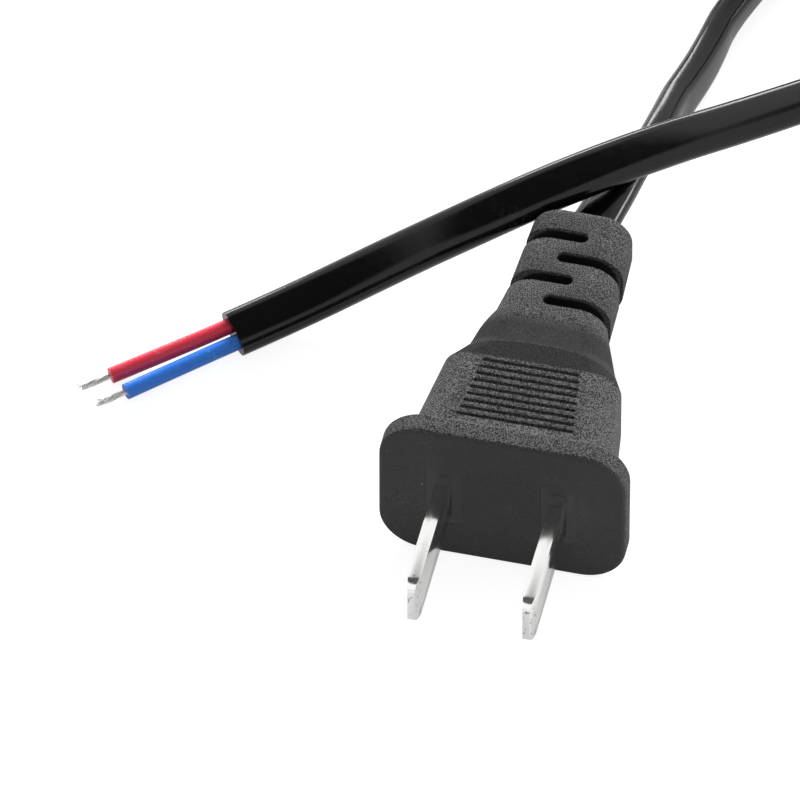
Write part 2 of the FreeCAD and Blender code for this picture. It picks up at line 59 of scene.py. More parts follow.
print("frame loaded:", len(nodes), "nodes")


# helpers for selecting and editing


def deselectAll():
    for item in view.objects:
        item.select_set(False)
    view.objects.active = None


def makeActive(piece):
    deselectAll()
    piece.select_set(True)
    view.objects.active = piece


def applyModifiers(piece):
    makeActive(piece)
    for modifier in list(piece.modifiers):
        bpy.ops.object.modifier_apply(modifier=modifier.name)


def bakePlace(piece):
    makeActive(piece)
    bpy.ops.object.transform_apply(location=True, rotation=True, scale=True)


def namePiece(piece, name, slot, *replaced):
    # rides on the one body, takes its finish from a slot, and hides the nodes it stands for
    piece.name = name
    piece.data.name = name
    piece.data.materials.clear()
    piece.data.materials.append(finishes[slot])
    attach(piece, "root")
    if replaced:
        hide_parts(*replaced)
    return piece


def meshPiece(name, points, faces):
    mesh = bpy.data.meshes.new(name)
    mesh.from_pydata([tuple(point) for point in points], [], faces)
    mesh.update()
    piece = bpy.data.objects.new(name, mesh)
    bpy.context.scene.collection.objects.link(piece)
    return piece


def smoothByAngle(piece, degrees):
    makeActive(piece)
    bpy.ops.object.shade_smooth_by_angle(angle=math.radians(degrees))


# camera: where the photograph was taken from

camera = {
    "azimuth": 12.93,
    "elevation": 48.5,
    "lookAt": (-12.6, -6.1, 17.1),  # mm, at the middle of the picture
    "distance": 2000.0,  # mm
    "pixelsPerMillimetre": 9.247,
    "pictureWidth": 800,
    "sensorWidth": 36.0,
}


def makeCamera():
    turn, rise = math.radians(camera["azimuth"]), math.radians(camera["elevation"])
    back = Vector(
        (math.sin(turn) * math.cos(rise), -math.cos(turn) * math.cos(rise), math.sin(rise))
    )
    data = bpy.data.cameras.new("photoCamera")
    data.sensor_width = camera["sensorWidth"]
    focalPixels = camera["pixelsPerMillimetre"] * camera["distance"]
    data.lens = focalPixels * camera["sensorWidth"] / camera["pictureWidth"]
    data.clip_end = 100
    item = bpy.data.objects.new("photoCamera", data)
    item.location = (Vector(camera["lookAt"]) + back * camera["distance"]) * mm
    item.rotation_euler = (-back).to_track_quat("-Z", "Y").to_euler()
    bpy.context.scene.collection.objects.link(item)
    bpy.context.scene.camera = item


makeCamera()
print("camera placed")


# materials


def addNode(tree, kind, links=None, **settings):
    # a node with its settings, and each input either linked or given a value
    item = tree.nodes.new(f"ShaderNode{kind}")
    for label, value in settings.items():
        setattr(item, label, value)
    for socket, value in (links or {}).items():
        if isinstance(value, bpy.types.NodeSocket):
            tree.links.new(value, item.inputs[socket])
        else:
            item.inputs[socket].default_value = value
    return item


def newGroup(name, inputs, outputs):
    group = bpy.data.node_groups.new(name, "ShaderNodeTree")
    for label, kind, value in inputs:
        socket = group.interface.new_socket(label, in_out="INPUT", socket_type=f"NodeSocket{kind}")
        socket.default_value = value
    for label, kind in outputs:
        group.interface.new_socket(label, in_out="OUTPUT", socket_type=f"NodeSocket{kind}")
    return group, group.nodes.new("NodeGroupInput"), group.nodes.new("NodeGroupOutput")


def makeGrainGroup():
    # fine moulded grain: a bump and the value that it comes from, finer or coarser by Scale
    group, entry, leave = newGroup(
        "fineGrain",
        [("Scale", "Float", 4000.0), ("Depth", "Float", 0.00002), ("Stretch", "Vector", (1, 1, 1))],
        [("Value", "Float"), ("Normal", "Vector")],
    )
    place = addNode(group, "TexCoord")
    stretched = addNode(
        group,
        "VectorMath",
        {0: place.outputs["Object"], 1: entry.outputs["Stretch"]},
        operation="MULTIPLY",
    )
    fine = addNode(
        group,
        "TexNoise",
        {
            "Vector": stretched.outputs[0],
            "Scale": entry.outputs["Scale"],
            "Detail": 1.5,
            "Roughness": 0.6,
        },
    )
    bump = addNode(
        group, "Bump", {"Distance": entry.outputs["Depth"], "Height": fine.outputs["Fac"]}
    )
    group.links.new(fine.outputs["Fac"], leave.inputs["Value"])
    group.links.new(bump.outputs["Normal"], leave.inputs["Normal"])
    return group


def makeSpecksGroup():
    # dust specks: small round dots, each in its own cell, kept where the cell's number is high
    group, entry, leave = newGroup(
        "dustSpecks",
        [("Scale", "Float", 400.0), ("Size", "Float", 0.12), ("Share", "Float", 0.15)],
        [("Mask", "Float")],
    )
    place = addNode(group, "TexCoord")
    cells = addNode(
        group,
        "TexVoronoi",
        {"Vector": place.outputs["Object"], "Scale": entry.outputs["Scale"]},
        feature="F1",
    )
    parts = addNode(group, "SeparateColor", {"Color": cells.outputs["Color"]})
    chosen = addNode(
        group, "Math", {0: parts.outputs[0], 1: entry.outputs["Share"]}, operation="LESS_THAN"
    )
    reach = addNode(
        group, "Math", {0: parts.outputs[1], 1: entry.outputs["Size"]}, operation="MULTIPLY"
    )
    inside = addNode(
        group, "Math", {0: cells.outputs["Distance"], 1: reach.outputs[0]}, operation="LESS_THAN"
    )
    both = addNode(group, "Math", {0: inside.outputs[0], 1: chosen.outputs[0]}, operation="MULTIPLY")
    group.links.new(both.outputs[0], leave.inputs["Mask"])
    return group


def makeScuffsGroup():
    # pale rubbed patches: broken fine streaks inside a few large soft areas
    group, entry, leave = newGroup(
        "rubbedPatches",
        [("Area", "Float", 60.0), ("Fine", "Float", 1500.0), ("Share", "Float", 0.35)],
        [("Mask", "Float")],
    )
    place = addNode(group, "TexCoord")
    areas = addNode(
        group, "TexNoise", {"Vector": place.outputs["Object"], "Scale": entry.outputs["Area"]}
    )
    streaks = addNode(
        group,
        "TexNoise",
        {"Vector": place.outputs["Object"], "Scale": entry.outputs["Fine"], "Detail": 5.0},
    )
    edge = addNode(group, "Math", {0: 1.0, 1: entry.outputs["Share"]}, operation="SUBTRACT")
    level = addNode(group, "Math", {0: edge.outputs[0], 1: 0.12}, operation="ADD")
    wide = addNode(
        group,
        "MapRange",
        {
            "Value": areas.outputs["Fac"],
            "From Min": edge.outputs[0],
            "From Max": level.outputs[0],
        },
    )
    fine = addNode(
        group, "MapRange", {"Value": streaks.outputs["Fac"], "From Min": 0.5, "From Max": 0.68}
    )
    both = addNode(group, "Math", {0: wide.outputs[0], 1: fine.outputs[0]}, operation="MULTIPLY")
    group.links.new(both.outputs[0], leave.inputs["Mask"])
    return group


fineGrain = makeGrainGroup()
dustSpecks = makeSpecksGroup()
rubbedPatches = makeScuffsGroup()


def newMaterial(name, **fixed):
    # a Principled surface with the values that are the same all over it
    material = bpy.data.materials.new(name)
    material.use_nodes = True
    surface = material.node_tree.nodes["Principled BSDF"]
    for socket, value in fixed.items():
        surface.inputs[socket.replace("_", " ")].default_value = value
    return material, material.node_tree, surface


def placeGroup(tree, group, **values):
    item = tree.nodes.new("ShaderNodeGroup")
    item.node_tree = group
    for socket, value in values.items():
        item.inputs[socket].default_value = value
    return item


def mixColours(tree, share, first, second):
    return addNode(
        tree, "Mix", {"Factor": share, 6: first, 7: second}, data_type="RGBA"
    ).outputs[2]


def mapValue(tree, value, low, high, fromLow=0.3, fromHigh=0.7):
    return addNode(
        tree,
        "MapRange",
        {"Value": value, "From Min": fromLow, "From Max": fromHigh, "To Min": low, "To Max": high},
    ).outputs[0]


def grey(level):
    return (level, level, level, 1)


def paintedSlotShade(tree, place, look):
    # painted shade in the slots: one below the strain relief's own surface, which is a rounded
    # rectangle seen along y
    centred = addNode(
        tree, "VectorMath", {0: place, 1: look["slotMiddle"]}, operation="SUBTRACT"
    )
    unsigned = addNode(tree, "VectorMath", {0: centred.outputs[0]}, operation="ABSOLUTE")
    beyond = addNode(
        tree, "VectorMath", {0: unsigned.outputs[0], 1: look["slotCore"]}, operation="SUBTRACT"
    )
    outside = addNode(
        tree, "VectorMath", {0: beyond.outputs[0], 1: (0, 0, 0)}, operation="MAXIMUM"
    )
    across = addNode(
        tree, "VectorMath", {0: outside.outputs[0], 1: (1, 0, 1)}, operation="MULTIPLY"
    )
    reach = addNode(tree, "VectorMath", {0: across.outputs[0]}, operation="LENGTH")
    return mapValue(
        tree, reach.outputs["Value"], 1.0, 0.0, look["slotReach"] - look["fade"], look["slotReach"]
    )


def makeBodyPvc():
    # spark-grained; nearly smooth on the engagement face, smoother on the neck; painted shade on the
    # scoop and in the slots
    look = {
        "dark": (0.026, 0.026, 0.027, 1),
        "light": (0.205, 0.205, 0.208, 1),
        "face": grey(0.088),
        "neck": grey(0.030),
        # painted shade, laid on the scoop and in the slots
        "hollow": grey(0.010),
        "dust": grey(0.42),
        "rough": (0.74, 0.92),
        "faceEnd": -11.75 * mm,
        "grainStart": -11.45 * mm,
        "faceShare": 0.88,
        "neckStart": 3.5 * mm,
        "scoopEnd": 7.6 * mm,
        "scoopCurve": 28.0,
        "scoopShadeShare": 0.82,
        "neckEnd": 12.6 * mm,
        "neckShare": 0.84,
        "reliefStart": 13.2 * mm,
        "slotMiddle": (0.25 * mm, 0, 9.6 * mm),
        "slotCore": (2.15 * mm, 0, 1.1 * mm),
        "slotReach": 3.15 * mm,
        "fade": 0.3 * mm,  # width of most of the borders between finishes
        "gripFade": 0.4 * mm,
        "neckFade": 2.5 * mm,
        "grainRange": (0.43, 0.61),
        "wornShare": 0.2,
        "grainDepth": 0.08 * mm,
    }
    material, tree, surface = newMaterial("bodyPvc", Specular_IOR_Level=0.16)
    place = addNode(tree, "TexCoord").outputs["Object"]
    axes = addNode(tree, "SeparateXYZ", {0: place})
    along = axes.outputs["Y"]
    onFace = mapValue(tree, along, look["faceShare"], 0.0, look["faceEnd"], look["grainStart"])
    behindGrip = mapValue(
        tree, along, 0.0, 1.0, look["neckStart"] - look["gripFade"], look["neckStart"]
    )
    squared = addNode(
        tree, "Math", {0: axes.outputs["X"], 1: axes.outputs["X"]}, operation="MULTIPLY"
    )
    arched = addNode(
        tree,
        "Math",
        {0: squared.outputs[0], 1: look["scoopCurve"], 2: along},
        operation="MULTIPLY_ADD",
    )
    offScoop = mapValue(
        tree, arched.outputs[0], 0.0, 1.0, look["scoopEnd"] - look["fade"], look["scoopEnd"]
    )
    beforeRelief = mapValue(
        tree, along, look["neckShare"], 0.0, look["neckEnd"] - look["neckFade"], look["neckEnd"]
    )
    onNeck = addNode(tree, "Math", {0: offScoop, 1: beforeRelief}, operation="MULTIPLY").outputs[0]
    # painted shade: the scoop behind the grip is darkened
    scooped = addNode(tree, "Math", {0: behindGrip, 1: offScoop}, operation="SUBTRACT").outputs[0]
    scoopShadeMask = addNode(
        tree, "Math", {0: scooped, 1: look["scoopShadeShare"]}, operation="MULTIPLY", use_clamp=True
    ).outputs[0]
    onRelief = mapValue(
        tree, along, 0.0, 1.0, look["reliefStart"], look["reliefStart"] + look["fade"]
    )
    # painted shade inside the slots of the strain relief
    slotShadeMask = addNode(
        tree, "Math", {0: paintedSlotShade(tree, place, look), 1: onRelief}, operation="MULTIPLY"
    ).outputs[0]
    smooth = addNode(tree, "Math", {0: onFace, 1: onNeck}, operation="MAXIMUM")
    share = addNode(tree, "Math", {0: 1.0, 1: smooth.outputs[0]}, operation="SUBTRACT")
    grain = placeGroup(tree, fineGrain, Scale=6600)
    specks = placeGroup(tree, dustSpecks, Scale=2600, Size=0.25, Share=0.012)
    patches = placeGroup(tree, rubbedPatches, Area=180, Fine=2600, Share=0.42)
    level = mapValue(tree, grain.outputs["Value"], 0.0, 1.0, *look["grainRange"])
    grained = mixColours(tree, level, look["dark"], look["light"])
    necked = mixColours(tree, onNeck, grained, look["neck"])
    faced = mixColours(tree, onFace, necked, look["face"])
    faint = addNode(
        tree, "Math", {0: patches.outputs["Mask"], 1: look["wornShare"]}, operation="MULTIPLY"
    )
    worn = mixColours(tree, faint.outputs[0], faced, look["dust"])
    dusty = mixColours(tree, specks.outputs["Mask"], worn, look["dust"])
    # painted shade: the scoop and the slots take the hollow grey
    paintedShadeMask = addNode(tree, "Math", {0: scoopShadeMask, 1: slotShadeMask}, operation="MAXIMUM")
    paintedShadeColour = mixColours(tree, paintedShadeMask.outputs[0], dusty, look["hollow"])
    tree.links.new(paintedShadeColour, surface.inputs["Base Color"])
    rough = mapValue(tree, grain.outputs["Value"], *look["rough"])
    tree.links.new(rough, surface.inputs["Roughness"])
    height = addNode(
        tree, "Math", {0: grain.outputs["Value"], 1: share.outputs[0]}, operation="MULTIPLY"
    )
    bump = addNode(tree, "Bump", {"Distance": look["grainDepth"], "Height": height.outputs[0]})
    tree.links.new(bump.outputs["Normal"], surface.inputs["Normal"])
    return material


def makeHolderPlastic():
    material, tree, surface = newMaterial("holderPlastic", Specular_IOR_Level=0.14)
    grain = placeGroup(tree, fineGrain, Scale=2600, Depth=0.00001)
    specks = placeGroup(tree, dustSpecks, Scale=1400, Size=0.3, Share=0.08)
    colour = mixColours(tree, grain.outputs["Value"], grey(0.076), grey(0.094))
    dusty = mixColours(tree, specks.outputs["Mask"], colour, grey(0.25))
    tree.links.new(dusty, surface.inputs["Base Color"])
    rough = mapValue(tree, grain.outputs["Value"], 0.38, 0.5)
    tree.links.new(rough, surface.inputs["Roughness"])
    tree.links.new(grain.outputs["Normal"], surface.inputs["Normal"])
    return material


def makeCordJacket():
    look = {
        "dark": (0.0022, 0.0022, 0.0028, 1),
        "light": (0.0045, 0.0045, 0.0052, 1),
        "dust": grey(0.22),
        "rubbed": grey(0.05),
        "rough": (0.12, 0.20),
    }
    material, tree, surface = newMaterial("cordJacket", Specular_IOR_Level=0.34)
    grain = placeGroup(tree, fineGrain, Scale=900, Depth=0.000008)
    specks = placeGroup(tree, dustSpecks, Scale=500, Size=0.2, Share=0.05)
    scuffs = placeGroup(tree, rubbedPatches, Area=70, Fine=1800, Share=0.36)
    colour = mixColours(tree, grain.outputs["Value"], look["dark"], look["light"])
    rubbed = mixColours(tree, scuffs.outputs["Mask"], colour, look["rubbed"])
    dusty = mixColours(tree, specks.outputs["Mask"], rubbed, look["dust"])
    tree.links.new(dusty, surface.inputs["Base Color"])
    rough = mapValue(tree, grain.outputs["Value"], *look["rough"])
    tree.links.new(rough, surface.inputs["Roughness"])
    tree.links.new(grain.outputs["Normal"], surface.inputs["Normal"])
    return material


def makeBladePlating():
    # bright plate, rubbed here and there, darker in mottled patches at its tip
    look = {
        "bright": (0.96, 0.955, 0.94, 1),
        "dull": (0.74, 0.73, 0.71, 1),
        "tipDark": (0.10, 0.10, 0.10, 1),
        "rough": (0.08, 0.20),
        "tipStart": -26.3 * mm,
        "tipEnd": -26.6 * mm,
    }
    material, tree, surface = newMaterial("bladePlating", Metallic=1.0)
    place = addNode(tree, "TexCoord")
    along = addNode(tree, "SeparateXYZ", {0: place.outputs["Object"]}).outputs["Y"]
    atTip = mapValue(tree, along, 1.0, 0.0, look["tipEnd"], look["tipStart"])
    brushed = placeGroup(tree, fineGrain, Scale=1800, Depth=0.000003, Stretch=(1, 0.08, 1))
    scuffs = placeGroup(tree, rubbedPatches, Area=220, Fine=2600, Share=0.42)
    tipPatches = placeGroup(tree, rubbedPatches, Area=900, Fine=2400, Share=0.5)
    colour = mixColours(tree, scuffs.outputs["Mask"], look["bright"], look["dull"])
    tipDarkMask = addNode(tree, "Math", {0: tipPatches.outputs["Mask"], 1: atTip}, operation="MULTIPLY")
    tipped = mixColours(tree, tipDarkMask.outputs[0], colour, look["tipDark"])
    tree.links.new(tipped, surface.inputs["Base Color"])
    rough = mapValue(tree, brushed.outputs["Value"], *look["rough"])
    tree.links.new(rough, surface.inputs["Roughness"])
    tree.links.new(brushed.outputs["Normal"], surface.inputs["Normal"])
    return material


def makeTinnedWire():
    material, tree, surface = newMaterial("tinnedWire", Metallic=1.0)
    grain = placeGroup(tree, fineGrain, Scale=5000, Depth=0.000004)
    colour = mixColours(
        tree, grain.outputs["Value"], (0.66, 0.65, 0.64, 1), (0.92, 0.91, 0.90, 1)
    )
    tree.links.new(colour, surface.inputs["Base Color"])
    rough = mapValue(tree, grain.outputs["Value"], 0.22, 0.38)
    tree.links.new(rough, surface.inputs["Roughness"])
    tree.links.new(grain.outputs["Normal"], surface.inputs["Normal"])
    return material


def makeInsulation(name, deep, pale):
    # coloured core insulation, with paler mottled patches where it was rubbed and dusted
    material, tree, surface = newMaterial(name, Specular_IOR_Level=0.5)
    grain = placeGroup(tree, fineGrain, Scale=1500, Depth=0.00001)
    scuffs = placeGroup(tree, rubbedPatches, Area=500, Fine=3000, Share=0.5)
    faint = mapValue(tree, scuffs.outputs["Mask"], 0.0, 0.6, 0, 1)
    colour = mixColours(tree, faint, deep, pale)
    tree.links.new(colour, surface.inputs["Base Color"])
    rough = mapValue(tree, grain.outputs["Value"], 0.28, 0.42)
    tree.links.new(rough, surface.inputs["Roughness"])
    tree.links.new(grain.outputs["Normal"], surface.inputs["Normal"])
    return material


def makeTiePlastic():
    material, tree, surface = newMaterial("tiePlastic")
    grain = placeGroup(tree, fineGrain, Scale=1800, Depth=0.00002)
    specks = placeGroup(tree, dustSpecks, Scale=900, Size=0.3, Share=0.06)
    colour = mixColours(tree, grain.outputs["Value"], grey(0.018), grey(0.032))
    dusty = mixColours(tree, specks.outputs["Mask"], colour, grey(0.25))
    tree.links.new(dusty, surface.inputs["Base Color"])
    rough = mapValue(tree, grain.outputs["Value"], 0.35, 0.5)
    tree.links.new(rough, surface.inputs["Roughness"])
    tree.links.new(grain.outputs["Normal"], surface.inputs["Normal"])
    return material


finishes = {
    "body_pvc": makeBodyPvc(),
    "holder_plastic": makeHolderPlastic(),
    "blade_plating": makeBladePlating(),
    "tinned_wire": makeTinnedWire(),
    "red_insulation": makeInsulation(
        "redInsulation", (1.0, 0.050, 0.100, 1), (1.0, 0.24, 0.30, 1)
    ),
    "blue_insulation": makeInsulation(
        "blueInsulation", (0.035, 0.26, 1.0, 1), (0.18, 0.48, 1.0, 1)
    ),
    "cord_jacket": makeCordJacket(),
    "tie_plastic": makeTiePlastic(),
}
print("materials made:", len(finishes))


# cord: flat two-core cord, from the strain relief round the coil and back over itself

cord = {
    "width": 5.4 * mm,
    "thickness": 3.2 * mm,
    "hollow": 0.05 * mm,  # dip of the broad faces between the cores
    "length": 1.5,
    "leadPoints": [
        (0.0005, 0.0281, 0.0096),
        (0.0017, 0.0345, 0.0095),
        (0.0037, 0.0445, 0.0080),
        (0.0051, 0.0540, 0.0052),
        (0.0065, 0.0625, 0.0034),
        (0.0073, 0.0715, 0.0029),
        (0.02043, 0.1036, 0.0033),
        (0.02302, 0.11327, 0.0033),
    ],
    "returnPoints": [
        (0.00281, 0.1016, 0.0089),
        (0.01247, 0.09901, 0.0089),
        (0.0253, 0.0898, 0.0084),
        (0.0308, 0.0748, 0.0079),
        (0.0266, 0.0594, 0.0090),
        (0.0144, 0.0480, 0.0110),
        (0.0062, 0.0402, 0.0131),
        (-0.0030, 0.0323, 0.0133),
        (-0.0120, 0.0265, 0.0106),
        (-0.0206, 0.0229, 0.0060),
        (-0.0290, 0.0178, 0.0026),
        (-0.0356, 0.0123, 0.0019),
    ],
    "leadRoll": [-4, -20, -64, -100, -95, -84, -84, -90],
    "returnRoll": [-90, -82, -55, -15, 8, -2, -10, -14, -18, -18, -17, -16],
    "coilMiddle": Vector((-0.006, 0.1402, 0)),
    "outerTurn": 35.0 * mm,
    "turnPitch": 3.3 * mm,
    "lowHeight": 3.3 * mm,
    "highHeight": 8.9 * mm,
    "firstAngle": -15.0,
    "lastAngle": -105.0 + 360 * 7,
    "riseTurns": 0.4,
    "innerSpare": 0.12,  # turns by which the inmost radius is held while the cord climbs
    "pointsPerTurn": 16,
    "ringsPerPoint": 8,
    "endSteps": 9,  # points round each rounded side of the section
}


def coilPoints():
    # in along the floor, up at the innermost turn, out again on top
    turns = (cord["lastAngle"] - cord["firstAngle"]) / 360
    levelTurns = (turns - cord["riseTurns"]) / 2
    count = round(turns * cord["pointsPerTurn"])
    stretch = 1 / math.cos(math.pi / cord["pointsPerTurn"])
    points = []
    for number in range(count + 1):
        done = turns * number / count
        away = abs(done - turns / 2)
        radius = cord["outerTurn"] - cord["turnPitch"] * (turns / 2 - away)
        climb = min(max((done - levelTurns) / cord["riseTurns"], 0), 1)
        climb = climb * climb * (3 - 2 * climb)
        height = cord["lowHeight"] + (cord["highHeight"] - cord["lowHeight"]) * climb
        radius = max(radius, cord["outerTurn"] - cord["turnPitch"] * (levelTurns + cord["innerSpare"]))
        angle = math.radians(cord["firstAngle"] + 360 * done)
        flat = Vector((math.cos(angle), math.sin(angle), 0)) * radius * stretch
        points.append(cord["coilMiddle"] + flat + Vector((0, 0, height)))
    return points


def routeLine(name, points):
    # the smooth line that a NURBS spline makes of a route
    curve = bpy.data.curves.new(name, "CURVE")
    curve.dimensions = "3D"
    spline = curve.splines.new("NURBS")
    spline.points.add(len(points) - 1)
    for place, point in zip(spline.points, points):
        place.co = (*point, 1)
    spline.order_u = 3
    spline.use_endpoint_u = True
    spline.resolution_u = cord["ringsPerPoint"]
    holder = bpy.data.objects.new(name, curve)
    mesh = bpy.data.meshes.new_from_object(holder)
    line = [vertex.co.copy() for vertex in mesh.vertices]
    bpy.data.objects.remove(holder)
    bpy.data.meshes.remove(mesh)
    return line


def flatSection(width, thickness, hollow, steps):
    # points round the cord's section: x across, y up
    radius, reach = thickness / 2, (width - thickness) / 2
    outline = []
    for side in (1, -1):
        for step in range(steps):
            angle = math.radians(-90 + 180 * step / (steps - 1)) * side
            middle = reach * side
            outline.append((middle + math.cos(angle) * radius * side, math.sin(angle) * radius))
        outline.append((0, (radius - hollow) * side))
    return outline


def sweepSection(name, line, rolls, outline):
    # one ring of points at each point of the line, turned about it by that point's roll
    points, faces, lengths = [], [], [0.0]
    count = len(outline)
    for before, after in zip(line, line[1:]):
        lengths.append(lengths[-1] + (after - before).length)
    for number, place in enumerate(line):
        ahead, behind = line[min(number + 1, len(line) - 1)], line[max(number - 1, 0)]
        along = (ahead - behind).normalized()
        side = along.cross(Vector((0, 0, 1))).normalized()
        up = side.cross(along)
        turn = Quaternion(along, math.radians(rolls[number]))
        across, rise = turn @ side, turn @ up
        points += [place + across * x + rise * y for x, y in outline]
    for ring in range(len(line) - 1):
        for step in range(count):
            first, second = ring * count + step, ring * count + (step + 1) % count
            faces.append((first, first + count, second + count, second))
    faces.append(tuple(range(count)))
    last = (len(line) - 1) * count
    faces.append(tuple(reversed(range(last, last + count))))
    piece = meshPiece(name, points, faces)
    writeLengthMap(piece, lengths, count)
    return piece


def writeLengthMap(piece, lengths, count):
    # u runs along the piece in metres, v once round its section
    layer = piece.data.uv_layers.new(name="along")
    for face in piece.data.polygons:
        for loop in face.loop_indices:
            ring, step = divmod(piece.data.loops[loop].vertex_index, count)
            share = step / count
            if face.loop_total == 4 and step == 0 and any(
                piece.data.loops[other].vertex_index % count == count - 1
                for other in face.loop_indices
            ):
                share = 1.0
            layer.data[loop].uv = (lengths[ring], share)


def rollsAlong(points, rolls, line):
    # each point of the line takes the roll of the route's points beside it
    lengths = [0.0]
    for before, after in zip(points, points[1:]):
        lengths.append(lengths[-1] + (after - before).length)
    found, whole = [], 0.0
    for before, after in zip(line, line[1:]):
        whole += (after - before).length
    done = 0.0
    for number, place in enumerate(line):
        if number:
            done += (place - line[number - 1]).length
        target = lengths[-1] * done / whole
        low = max(index for index, length in enumerate(lengths) if length <= target + 1e-9)
        high = min(low + 1, len(points) - 1)
        run = lengths[high] - lengths[low]
        share = (target - lengths[low]) / run if run else 0
        found.append(rolls[low] + (rolls[high] - rolls[low]) * share)
    return found


def makeCord():
    lead = [Vector(point) for point in cord["leadPoints"]]
    back = [Vector(point) for point in cord["returnPoints"]]
    turns = coilPoints()
    route = lead + turns + back
    rolls = cord["leadRoll"] + [-90] * len(turns) + cord["returnRoll"]
    line = routeLine("cordRoute", route)
    outline = flatSection(cord["width"], cord["thickness"], cord["hollow"], cord["endSteps"])
    piece = sweepSection("cord", line, rollsAlong(route, rolls, line), outline)
    smoothByAngle(piece, 50)
    namePiece(piece, "cord", "cord_jacket", "cord_lead", "cord_coil", "cord_return")
    return piece, line


cordPiece, cordLine = makeCord()
cordLength = sum((after - before).length for before, after in zip(cordLine, cordLine[1:]))
print(f"cord swept: {cordLength:.3f} m")


# stripped end: two insulated cores out of the cut jacket, each with its bare strands

strippedEnd = {
    "coreRadius": 0.9 * mm,
    "spacing": 2.1 * mm,
    "coreLength": {"red": 14.3 * mm, "blue": 13.9 * mm},
    "strandLength": 3.8 * mm,
    "straight": 4.14 * mm,
    "inJacket": 0.3,  # of the straight run, hidden in the jacket
    "spread": {"red": -2.2, "blue": 2.6},
    "ringCount": 40,
    "roundSteps": 24,
    "wireCount": 14,
    "innerWires": 4,
    "innerShare": 0.42,
    "wireRadius": 0.07 * mm,
    "wireRings": 13,
    "wireSteps": 8,
    "bundleRadius": 0.24 * mm,
    "tucked": 1.5 * mm,  # strands' length inside the insulation
    "layTurns": 0.8,
    "stray": (-0.12, 0.30),  # mm outwards at the cut
    "sway": (-0.10, 0.10),  # mm sideways at the cut
    "cutShare": (0.86, 1.0),
}


def coreLine(colour, side, extra):
    lastRun = Vector(cord["returnPoints"][-1]) - Vector(cord["returnPoints"][-2])
    along = lastRun.normalized()
    across = along.cross(Vector((0, 0, 1))).normalized()
    across.rotate(Quaternion(along, math.radians(cord["returnRoll"][-1])))
    start = Vector(cord["returnPoints"][-1]) + across * strippedEnd["spacing"] / 2 * side
    bend = start + along * strippedEnd["straight"]
    outward = along.copy()
    outward.rotate(Euler((0, 0, math.radians(strippedEnd["spread"][colour]))))
    end = bend + outward * (strippedEnd["coreLength"][colour] - strippedEnd["straight"])
    end.z = strippedEnd["coreRadius"]
    onward = (end - bend).normalized()
    return [start, bend, end, end + onward * extra]


def makeCore(colour, side):
    start, bend, end, _ = coreLine(colour, side, 0)
    hidden = start - (bend - start) * strippedEnd["inJacket"]
    line = routeLine(f"{colour}Route", [hidden, start, bend, end])
    radius = strippedEnd["coreRadius"]
    steps = strippedEnd["roundSteps"]
    outline = [
        (math.cos(2 * math.pi * step / steps) * radius, math.sin(2 * math.pi * step / steps) * radius)
        for step in range(steps)
    ]
    piece = sweepSection(f"core{colour.title()}", line, [0] * len(line), outline)
    smoothByAngle(piece, 50)
    slot = f"{colour}_insulation"
    return namePiece(piece, f"core{colour.title()}", slot, f"stripped_core_{colour}")


def makeStrands(colour, side, chance):
    _, bend, end, tip = coreLine(colour, side, strippedEnd["strandLength"])
    along = (tip - end).normalized()
    start = end - along * strippedEnd["tucked"]
    across = along.cross(Vector((0, 0, 1))).normalized()
    rise = across.cross(along)
    points, faces = [], []
    whole = (tip - start).length
    inner, rings, steps = (strippedEnd[key] for key in ("innerWires", "wireRings", "wireSteps"))
    for wire in range(strippedEnd["wireCount"]):
        ringed = wire >= inner
        turn0 = 2 * math.pi * wire / (strippedEnd["wireCount"] - inner if ringed else inner)
        ring = strippedEnd["bundleRadius"] * (1.0 if ringed else strippedEnd["innerShare"])
        stray = chance.uniform(*strippedEnd["stray"]) * mm
        cut = whole * chance.uniform(*strippedEnd["cutShare"])
        sideways = chance.uniform(*strippedEnd["sway"]) * mm
        line = []
        for step in range(rings):
            share = step / (rings - 1)
            turn = turn0 + 2 * math.pi * strippedEnd["layTurns"] * share * cut / whole
            out = ring + stray * share ** 2
            place = start + along * cut * share
            place = place + across * (math.cos(turn) * out + sideways * share ** 2)
            place = place + rise * math.sin(turn) * out
            place.z = max(place.z, strippedEnd["wireRadius"])
            line.append(place)
        first = len(points)
        for number, place in enumerate(line):
            ahead, behind = line[min(number + 1, rings - 1)], line[max(number - 1, 0)]
            forward = (ahead - behind).normalized()
            side1 = forward.cross(Vector((0, 0, 1))).normalized()
            side2 = side1.cross(forward)
            for corner in range(steps):
                angle = 2 * math.pi * corner / steps
                offset = side1 * math.cos(angle) + side2 * math.sin(angle)
                points.append(place + offset * strippedEnd["wireRadius"])
        last = first + (rings - 1) * steps
        for lower in range(first, last, steps):
            for corner in range(steps):
                here, beside = lower + corner, lower + (corner + 1) % steps
                faces.append((here, here + steps, beside + steps, beside))
        faces.append(tuple(range(first, first + steps)))
        faces.append(tuple(reversed(range(last, last + steps))))
    piece = meshPiece(f"strands{colour.title()}", points, faces)
    smoothByAngle(piece, 50)
    return namePiece(piece, f"strands{colour.title()}", "tinned_wire", f"strands_{colour}")


chance = random.Random(11)
cores = {colour: makeCore(colour, side) for colour, side in (("red", 1), ("blue", -1))}
strands = {
    colour: makeStrands(colour, side, chance) for colour, side in (("red", 1), ("blue", -1))
}
print("stripped end made")


# plug: softened copies of the moulded body, the blade holder and the blades

plug = {
    "bodyEdge": 0.16 * mm,
    "bodyAngle": 24,
    "holderEdge": 0.07 * mm,
    "bladeEdge": 0.12 * mm,
    "edgeSegments": 2,
    "mergeDistance": 0.002 * mm,
    "flatAngle": 0.6,
    "lean": 0.5 * mm,
    "leanStart": 17.5 * mm,
    "leanRun": 6 * mm,
    "reliefWidth": 10.6 * mm,
    "fullness": 0.6 * mm,
    "fullPlace": 11.8 * mm,
    "fullRun": 3.4 * mm,
    "neckHalf": 7.0 * mm,
}


